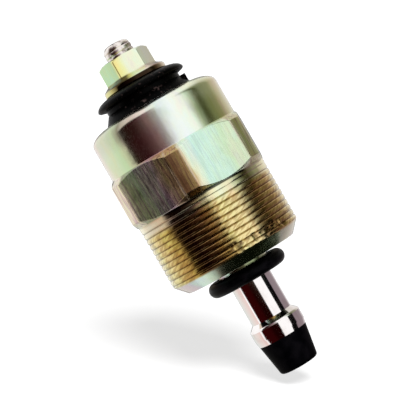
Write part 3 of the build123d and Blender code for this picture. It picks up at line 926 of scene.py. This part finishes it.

# %% colours round the hexagon and the shank
# Film colour with painted light: painted highlights near white where a face mirrors the light, and painted
# shade and dark painted reflections, such as the dark marks under the hexagon and on the thread.
HEX_FILM_AND_PAINTED_LIGHT = (
    (-180, (214, 222, 196)), (-110, (226, 214, 196)), (-60, (244, 232, 214)), (-56, (168, 168, 138)),
    (-40, (164, 168, 144)), (-24, (186, 160, 172)), (-12, (212, 180, 138)), (1, (214, 180, 134)),
    (4, (254, 252, 232)), (12, (228, 255, 248)), (26, (234, 255, 244)), (38, (232, 252, 228)),
    (49, (248, 254, 234)), (54, (216, 212, 170)), (72, (218, 212, 176)), (110, (214, 206, 176)),
    (180, (214, 222, 196)),
)
UNDER_FILM_AND_PAINTED_LIGHT = (
    (-180, (236, 224, 190)), (-74, (255, 240, 214)), (-57, (222, 208, 190)), (-39, (208, 184, 156)),
    (-30, (117, 89, 78)), (-23, (95, 84, 74)), (-16, (152, 150, 130)), (-8, (246, 238, 190)),
    (16, (255, 252, 222)), (34, (222, 210, 176)), (44, (146, 136, 96)), (60, (255, 250, 222)),
    (100, (236, 224, 190)), (180, (236, 224, 190)),
)
THREAD_FILM_AND_PAINTED_LIGHT = (
    (-180, (214, 196, 150)), (-76, (255, 244, 206)), (-60, (240, 222, 158)), (-50, (222, 204, 128)),
    (-40, (194, 164, 88)), (-33, (128, 96, 52)), (-24, (112, 76, 52)), (-12, (192, 156, 104)),
    (-3, (228, 190, 116)), (10, (255, 244, 184)), (24, (250, 228, 180)), (34, (160, 130, 92)),
    (44, (198, 156, 104)), (58, (230, 192, 136)), (74, (252, 234, 194)), (180, (214, 196, 150)),
)
END_FILM_AND_PAINTED_LIGHT = (
    (-180, (196, 206, 190)), (-74, (246, 216, 204)), (-60, (230, 208, 226)), (-46, (208, 232, 232)),
    (-34, (210, 232, 216)), (-20, (170, 170, 154)), (20, (160, 176, 136)), (36, (180, 192, 156)),
    (48, (240, 242, 228)), (90, (214, 214, 196)), (180, (196, 206, 190)),
)

# %% film of the housing
HOUSING_FILM = 0.27
housing_finish, tree, shader, spot = start_finish("chromated_zinc")
# The rings give the film colour together with painted highlights, painted reflections and painted shade.
base = banded(
    tree, spot, END_FILM_AND_PAINTED_LIGHT,
    (-11.8, 0.2, THREAD_FILM_AND_PAINTED_LIGHT), (-2.2, 0.6, UNDER_FILM_AND_PAINTED_LIGHT), (-0.05, 0.1, HEX_FILM_AND_PAINTED_LIGHT),
    (9.05, 0.1, BODY_FILM_AND_PAINTED_LIGHT), (13.4, 1.2, SHOULDER_FILM_AND_PAINTED_LIGHT),
)
base = blend(tree, HOUSING_FILM, base, film_colour(tree, spot), "MULTIPLY")
print("the housing's film takes", len(tree.nodes), "nodes")

# %% [markdown]
# ### Streaks, rubbed edges and painted highlights of the hexagon
# The hexagon is the surface of the bar, so its streaks run along the axis. Its edges are rubbed pale by
# spanners, and the pale line along every edge is a painted highlight too. Painted marks would need an
# image.
# Noise drawn out along the axis gives the streaks, and the angle to the nearest edge of a flat gives the
# rubbing, broken up by a second noise. The flat that faces the light gets fewer dark streaks, which is a
# painted highlight as well.

# %% hexagon streaks and edges
HEX_EDGE = math.degrees(math.acos(HEX_FLAT / HEX_CORNER))
# The pale colour along the edges of the flats is rubbing wear and a painted highlight.
RUBBED_AND_HIGHLIGHT = colour(248, 232, 206)
on_hexagon = between(tree, spot["height"], 0.1, 8.9, 0.1)
streaks = grain(tree, spot["place"], 0.45, (1, 1, 0.07), 3.0, (3, 3, 3))
streak_shade = ramp(
    tree, streaks,
    (0.34, (150, 140, 150)), (0.43, (214, 190, 214)), (0.5, (255, 255, 255)), (0.6, (226, 240, 214)),
    (0.68, (180, 190, 160)),
)
# The flat that faces the light keeps fewer dark streaks: a painted highlight.
highlit_face = between(tree, spot["turn"], 3.0, 49.0, 1.0)
streaked = sums(tree, "SUBTRACT", 0.75, product(tree, highlit_face, 0.6))
base = blend(tree, product(tree, on_hexagon, streaked), base, streak_shade, "MULTIPLY")

from_flat = sums(tree, "ADD", spot["turn"], -90.0 - HEX_TURN + 30.0 + 360.0)
off_flat = sums(tree, "ABSOLUTE", sums(tree, "SUBTRACT", sums(tree, "MODULO", from_flat, 60.0), 30.0))
off_edge = sums(tree, "ABSOLUTE", sums(tree, "SUBTRACT", off_flat, HEX_EDGE))
# Where the edges are pale, as wear and painted highlight, broken up by noise.
edge_patches = grain(tree, spot["place"], 0.9, (1, 1, 0.15), 2.0, (8, 2, 2))
rubbed_and_highlit = product(tree, on_hexagon, step_down(tree, off_edge, 0.4, 1.5), step_up(tree, edge_patches, 0.3, 0.6))
base = blend(tree, product(tree, rubbed_and_highlit, 0.7), base, RUBBED_AND_HIGHLIGHT)
print("the edges of the flats lie", round(HEX_EDGE, 1), "degrees from their middles")

# %% [markdown]
# ### Painted shade and wear on the thread
# The roots of the thread are darkened brown, as painted shade in the hollows. The crests have short
# slanting strokes as if they had rubbed against the pump's, and a black line of painted shade lies under
# the hexagon, across the side that faces the camera. A root could be picked out face by face, but the
# distance from the axis tells a root from a crest, so the painted shade follows the thread by itself. The
# strokes are noise on the unrolled wall of the shank, where a slant is a simple sum.

# %% painted shade and strokes on the thread
ARC_A_DEGREE = 0.209
BROWN_ROOT_SHADE = colour(104, 80, 50)
WORN_FILM = colour(164, 134, 92)
BLACK_SHADE_UNDER_HEX = colour(26, 24, 16)
on_thread = between(tree, spot["height"], SHANK_END - 0.1, THREAD_TOP - 0.1, 0.1)
# The roots are darkened brown: painted shade in the hollows of the thread.
root = step_down(tree, spot["reach"], THREAD_REACH - THREAD_DEPTH * 0.9, THREAD_REACH - THREAD_DEPTH * 0.2)
base = blend(tree, product(tree, on_thread, root, 0.55), base, BROWN_ROOT_SHADE, "MULTIPLY")
arc = product(tree, spot["turn"], ARC_A_DEGREE)
slant = sums(tree, "SUBTRACT", spot["height"], product(tree, arc, 0.45))
stroke_place = add(tree, "CombineXYZ", {"X": product(tree, arc, 0.3), "Y": slant}).outputs[0]
strokes = step_up(tree, grain(tree, stroke_place, 0.52, (1, 1, 1), 1.0), 0.42, 0.58)
worn_thread = between(tree, spot["height"], SHANK_END - 0.2, -2.2, 0.5)
base = blend(tree, product(tree, worn_thread, strokes, 0.5), base, WORN_FILM, "MULTIPLY")
# A black line under the hexagon, only across the side that faces the camera: painted shade.
under_hexagon = between(tree, spot["height"], -0.3, 0.02, 0.1)
shaded_under_hex = product(tree, under_hexagon, between(tree, spot["turn"], -36.0, 42.0, 3.0))
base = blend(tree, product(tree, shaded_under_hex, 0.9), base, BLACK_SHADE_UNDER_HEX)
# The word grease in this print stands for the painted shade in the roots and under the hexagon.
print("with grease and wear it takes", len(tree.nodes), "nodes")

# %% [markdown]
# ### Polish and tool marks of the housing
# The film is smooth, so the polish only varies a little, and is duller where it is rubbed. The turning tool
# left fine rings on the body, and the hexagon has lines along the bar. A bump is enough for marks
# of a hundredth of a millimetre. The rings also stretch the highlights, which is what anisotropy does.

# %% housing polish and relief
chromated(tree, shader, spot, base, 0.15, 0.25)
worn = sums(tree, "ADD", shader.inputs["Roughness"].links[0].from_socket, product(tree, rubbed_and_highlit, 0.3))
tree.links.new(worn, shader.inputs["Roughness"])
rings = grain(tree, spot["place"], 0.25, (0.05, 0.05, 1.4), 2.0)
bar_lines = grain(tree, spot["place"], 0.2, (1, 1, 0.05), 2.0, (6, 1, 1))
waves = grain(tree, spot["place"], 0.8, (1, 1, 0.7), 2.0, (9, 4, 4))
lines = add(tree, "Mix", {"Factor": on_hexagon, "A": rings, "B": bar_lines}, data_type="FLOAT")
relief = sums(tree, "ADD", product(tree, lines.outputs["Result"], 0.4), waves)
bump(tree, shader, relief, 0.01)
shader.inputs["Anisotropic"].default_value = 0.5
shader.inputs["Anisotropic Rotation"].default_value = 0.25
housing.data.materials.append(housing_finish)
print("the whole finish of the housing takes", len(tree.nodes), "nodes")

# %% [markdown]
# ## The nut's finish
# The nut has the same film as the housing, but it was tumbled and not turned, so it has no rings and
# shines more. It takes three rings of colours: the flange, the curve above it and the hexagon. They
# hold painted light as well as film colour. There is a painted highlight on the front of the hexagon,
# and painted shade and a dark painted reflection of the black cap on the front of the flange and the
# curve. The helpers of the housing do the same work here.

# %% colours round the nut
# Film colour with painted light. The pale front of the hexagon is a painted highlight. The dark front of
# the flange and its curve is painted shade and a painted reflection of the black cap.
NUT_FILM_AND_PAINTED_LIGHT = (
    (-180, (206, 226, 190)), (-60, (200, 224, 190)), (-28, (194, 214, 176)), (-22, (255, 240, 164)),
    (-8, (255, 250, 196)), (2, (248, 255, 242)), (34, (252, 255, 240)), (40, (224, 228, 216)),
    (66, (228, 222, 218)), (110, (224, 212, 200)), (180, (206, 226, 190)),
)
FLANGE_FILM_AND_PAINTED_LIGHT = (
    (-180, (214, 214, 170)), (-64, (232, 224, 170)), (-46, (200, 180, 122)), (-34, (76, 60, 38)),
    (-8, (50, 38, 26)), (24, (56, 42, 34)), (46, (130, 98, 88)), (66, (226, 204, 196)),
    (110, (220, 206, 190)), (180, (214, 214, 170)),
)
CORNER_FILM_AND_PAINTED_LIGHT = (
    (-180, (150, 140, 100)), (-60, (160, 150, 104)), (-42, (60, 50, 30)), (-12, (84, 70, 40)),
    (-3, (220, 208, 150)), (10, (232, 244, 222)), (26, (240, 226, 220)), (44, (170, 140, 134)),
    (110, (160, 146, 120)), (180, (150, 140, 100)),
)

# %% nut finish
NUT_FILM = 0.36
nut_finish, tree, shader, spot = start_finish("chromated_nut")
# These rings give film colour together with the nut's painted highlight and painted shade.
base = banded(
    tree, spot, FLANGE_FILM_AND_PAINTED_LIGHT,
    (nut_low + 0.86, 0.08, CORNER_FILM_AND_PAINTED_LIGHT), (nut_low + 1.75, 0.16, NUT_FILM_AND_PAINTED_LIGHT), wander=16.0,
)
base = blend(tree, NUT_FILM, base, film_colour(tree, spot), "MULTIPLY")
chromated(tree, shader, spot, base, 0.10, 0.17)
bump(tree, shader, grain(tree, spot["place"], 0.35, (1, 1, 0.8), 3.0, (2, 2, 2)), 0.006)
nut.data.materials.append(nut_finish)
print("the nut's finish takes", len(tree.nodes), "nodes")

# %% [markdown]
# ## Bare metals
# The stud, the plunger and the metal pieces inside have no film. They differ in colour and polish. Each
# could have a tree of its own, but one function makes them all, because they are built alike: a slow
# stain, fine marks in one direction and a polish that varies with the stain. The plunger is ground and
# polished, so it is the brightest.

# %% metals
def bare_metal(name, clean, stained, low, high, marks=(0.05, 0.05, 1.4), depth_mm=0.002, size=2.0):
    """A metal between a clean and a stained colour, with fine marks."""
    finish, tree, shader, spot = start_finish(name)
    stain = grain(tree, spot["place"], size, (1, 1, 0.6), 4.0)
    lines = grain(tree, spot["place"], 0.22, marks, 2.0, (1, 2, 3))
    shade = blend(tree, step_up(tree, stain, 0.42, 0.68), colour(*clean), colour(*stained))
    tree.links.new(shade, shader.inputs["Base Color"])
    tree.links.new(spread(tree, stain, 0.3, 0.7, low, high), shader.inputs["Roughness"])
    shader.inputs["Metallic"].default_value = 1.0
    bump(tree, shader, lines, depth_mm)
    return finish


plunger_finish = bare_metal("polished_steel", (254, 250, 249), (244, 236, 234), 0.06, 0.11, depth_mm=0.0006)
stud_finish = bare_metal("stud_steel", (244, 236, 230), (128, 110, 102), 0.14, 0.3, size=0.9)
core_finish = bare_metal("bare_steel", (200, 198, 194), (160, 150, 140), 0.22, 0.38)
spring_finish = bare_metal("spring_steel", (190, 190, 192), (140, 132, 126), 0.2, 0.3)
brass_finish = bare_metal("brass", (226, 190, 110), (190, 140, 76), 0.16, 0.3)
copper_finish = bare_metal("copper", (226, 140, 100), (170, 90, 60), 0.2, 0.32, (1, 1, 6))
tinned_finish = bare_metal("tinned_steel", (216, 216, 212), (176, 174, 168), 0.24, 0.36)
print("materials so far, with the packed part's own:", len(bpy.data.materials))

# %% [markdown]
# ## Rubber, plastic and board
# The black pieces are nearly the same black, and in the photograph almost nothing shines on them. A new
# plastic's mirror strength would turn them grey, so theirs is set far lower, and what is left of it tells
# them apart: the moulded cap has the sharpest lights and faint brown specks, the seal ring is satin,
# and the valve tip is ground and dull. The bobbin, tape and boards inside follow the same pattern
# in their own colours.

# %% moulded and rubber
def moulded(name, dark, light, low, high, size=1.5, depth_mm=0.004, fleck=0.2, shine=0.5, spots=0.38):
    """A plastic, rubber or board between two colours, with a fine uneven surface."""
    finish, tree, shader, spot = start_finish(name)
    patch = grain(tree, spot["place"], size, (1, 1, 1), 4.0)
    fine = grain(tree, spot["place"], fleck, (1, 1, 1), 2.0, (4, 1, 6))
    shade = blend(tree, step_up(tree, patch, spots, spots + 0.32), colour(*dark), colour(*light))
    tree.links.new(shade, shader.inputs["Base Color"])
    tree.links.new(spread(tree, patch, 0.3, 0.7, low, high), shader.inputs["Roughness"])
    shader.inputs["Specular IOR Level"].default_value = shine
    bump(tree, shader, fine, depth_mm)
    return finish


cap_finish = moulded("black_plastic", (1, 1, 1), (74, 60, 58), 0.24, 0.4, 0.8, shine=0.03, spots=0.57)
seal_finish = moulded("black_rubber", (2, 2, 3), (9, 7, 10), 0.3, 0.45, 1.2, shine=0.04)
tip_finish = moulded("ground_rubber", (1, 1, 2), (7, 6, 8), 0.42, 0.55, 2.0, shine=0.02)
nylon_finish = moulded("natural_nylon", (226, 218, 196), (236, 230, 214), 0.4, 0.5)
tape_finish = moulded("amber_tape", (196, 130, 40), (214, 156, 60), 0.3, 0.4)
board_finish = moulded("fibre_board", (120, 70, 50), (146, 92, 66), 0.55, 0.7, 0.8)
print("materials in all:", len(bpy.data.materials))

# %% [markdown]
# ## Giving each solid its finish
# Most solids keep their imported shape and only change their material. This could be done slot by slot in
# the material tab, but a table shows at a glance which finish goes to which solid. The four solids that
# a mesh stands in for get the finish of that mesh. A solid with no finish would stop the script here,
# so none is forgotten.

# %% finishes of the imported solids
FINISHES = {
    "insulating_cap": cap_finish,
    "nose_seal_ring": seal_finish,
    "sleeve_seal_ring": seal_finish,
    "stud_seal_ring": seal_finish,
    "cap_gasket": seal_finish,
    "valve_tip": tip_finish,
    "plunger": plunger_finish,
    "guide_sleeve": brass_finish,
    "core_shim": brass_finish,
    "fixed_core": core_finish,
    "pole_plate": core_finish,
    "bobbin": nylon_finish,
    "lead_bush": nylon_finish,
    "coil_winding": copper_finish,
    "live_lead": copper_finish,
    "earth_lead": copper_finish,
    "coil_tape": tape_finish,
    "coil_spacer": board_finish,
    "fibre_disc": board_finish,
    "contact_tag": tinned_finish,
    "solder_joint": tinned_finish,
}
REPLACED = {
    "housing": housing_finish, "terminal_nut": nut_finish, "terminal_stud": stud_finish,
    "return_spring": spring_finish,
}
stud.data.materials.append(stud_finish)
spring.data.materials.append(spring_finish)
for name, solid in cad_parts.items():
    finish = FINISHES.get(name) or REPLACED[name]
    solid.data.materials.clear()
    solid.data.materials.append(finish)
print("finishes given:", len(FINISHES), "kept and", len(REPLACED), "replaced")
